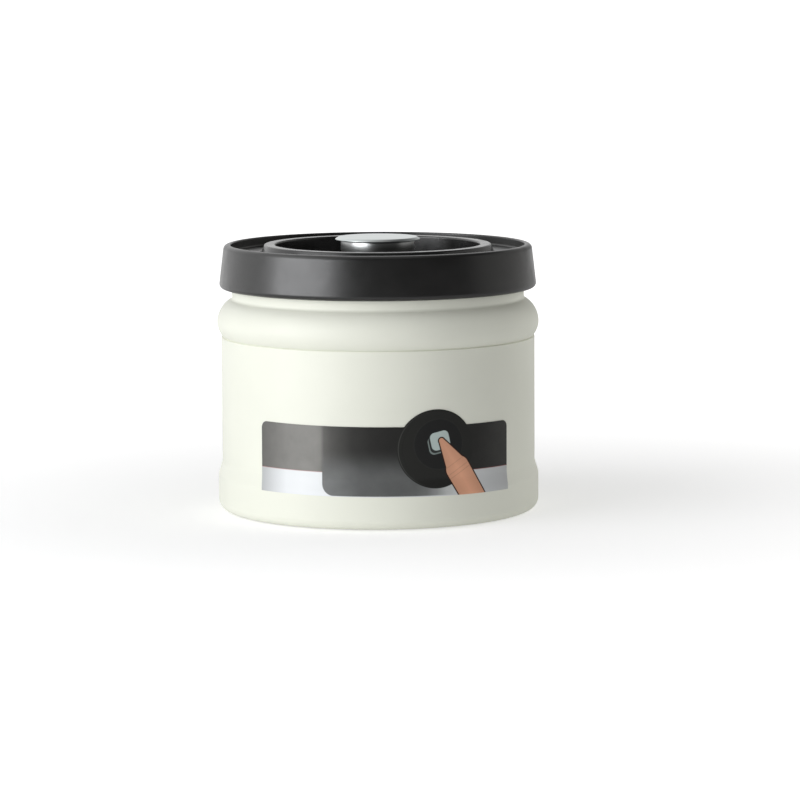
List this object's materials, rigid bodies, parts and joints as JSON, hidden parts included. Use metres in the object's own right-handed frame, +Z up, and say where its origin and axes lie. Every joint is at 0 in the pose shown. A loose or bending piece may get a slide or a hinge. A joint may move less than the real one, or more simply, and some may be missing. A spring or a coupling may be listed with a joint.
{
  "type": "food canister",
  "caption": "Wide round double-walled food canister with a swaged shoulder and a black plug lid, sealed by pressing a round metal button in its well.",
  "frame": {"origin": "middle of the underside, on the surface that it stands on", "axes": "+Z up through the button; the label faces -Y; +X to the label's right"},
  "size_m": [0.125, 0.1254, 0.1062],
  "materials": {
    "cream_paint": "satin",
    "liner_steel": "brushed",
    "base_steel": "brushed",
    "pad_rubber": "matt",
    "label_print": "satin print on film",
    "cover_plastic": "fine matt grain",
    "bowl_plastic": "satin",
    "wiper_rubber": "matt",
    "plug_plastic": "satin",
    "gasket_silicone": "matt, translucent",
    "plate_plastic": "satin",
    "lever_plastic": "satin",
    "pin_steel": "drawn",
    "spring_steel": "drawn",
    "cap_steel": "satin with a bright edge",
    "stem_chrome": "polished",
    "core_plastic": "satin"
  },
  "bodies": {
    "jar": {"outer_shell": "cream_paint", "inner_liner": "liner_steel", "base_plate": "base_steel", "foot_pad": "pad_rubber", "label": "label_print"},
    "lid": {"lid_cover": "cover_plastic", "well_bowl": "bowl_plastic", "stem_wiper": "wiper_rubber", "plug_body": "plug_plastic", "gasket": "gasket_silicone", "return_spring": "spring_steel", "lever_pin_1": "pin_steel", "lever_pin_2": "pin_steel", "lever_pin_3": "pin_steel", "lever_pin_4": "pin_steel", "latch_pin_1": "pin_steel", "latch_pin_2": "pin_steel", "body_screw_1": "pin_steel", "body_screw_2": "pin_steel", "body_screw_3": "pin_steel", "body_screw_4": "pin_steel"},
    "button": {"button_cap": "cap_steel", "button_stem": "stem_chrome", "button_core": "core_plastic", "cap_screw": "pin_steel"},
    "seal": {"seal_plate": "plate_plastic"},
    "lever_1": {"lever_1": "lever_plastic"},
    "lever_2": {"lever_2": "lever_plastic"},
    "lever_3": {"lever_3": "lever_plastic"},
    "lever_4": {"lever_4": "lever_plastic"},
    "latch_hook_1": {"latch_hook_1": "lever_plastic"},
    "latch_hook_2": {"latch_hook_2": "lever_plastic"}
  },
  "joints": [
    {"name": "lid_lift", "type": "slide", "parent": "jar", "child": "lid", "axis": [0, 0, 1], "range_m": [0, 0.12]},
    {"name": "button_press", "type": "slide", "parent": "lid", "child": "button", "axis": [0, 0, 1], "range_m": [-0.008, 0], "stiffness_N_per_m": 300, "springref_m": 0.006, "deforming": ["return_spring"]},
    {"name": "seal_lift", "type": "slide", "parent": "lid", "child": "seal", "axis": [0, 0, 1], "range_m": [0, 0.00262], "deforming": ["gasket"]},
    {"name": "lever_1_tilt", "type": "hinge", "parent": "lid", "child": "lever_1", "pos_m": [0.0334, 0, 0.0831], "axis": [0, -1, 0], "range_deg": [0, 25.16]},
    {"name": "lever_2_tilt", "type": "hinge", "parent": "lid", "child": "lever_2", "pos_m": [0, 0.0334, 0.0831], "axis": [1, 0, 0], "range_deg": [0, 25.16]},
    {"name": "lever_3_tilt", "type": "hinge", "parent": "lid", "child": "lever_3", "pos_m": [-0.0334, 0, 0.0831], "axis": [0, 1, 0], "range_deg": [0, 25.16]},
    {"name": "lever_4_tilt", "type": "hinge", "parent": "lid", "child": "lever_4", "pos_m": [0, -0.0334, 0.0831], "axis": [-1, 0, 0], "range_deg": [0, 25.16]},
    {"name": "latch_hook_1_swing", "type": "hinge", "parent": "lid", "child": "latch_hook_1", "pos_m": [0.01457, 0.01457, 0.0876], "axis": [-0.7071, 0.7071, 0], "range_deg": [0, 19.49], "stiffness_Nm_per_rad": 0.004},
    {"name": "latch_hook_2_swing", "type": "hinge", "parent": "lid", "child": "latch_hook_2", "pos_m": [-0.01457, -0.01457, 0.0876], "axis": [0.7071, -0.7071, 0], "range_deg": [0, 19.49], "stiffness_Nm_per_rad": 0.004}
  ],
  "couplings": [
    {"joint": "seal_lift", "follows": "button_press", "ratio": -0.32609},
    {"joint": "lever_1_tilt", "follows": "button_press", "rad_per_m": -54.785},
    {"joint": "lever_2_tilt", "follows": "button_press", "rad_per_m": -54.785},
    {"joint": "lever_3_tilt", "follows": "button_press", "rad_per_m": -54.785},
    {"joint": "lever_4_tilt", "follows": "button_press", "rad_per_m": -54.785},
    {"joint": "latch_hook_2_swing", "follows": "latch_hook_1_swing", "ratio": 1}
  ]
}
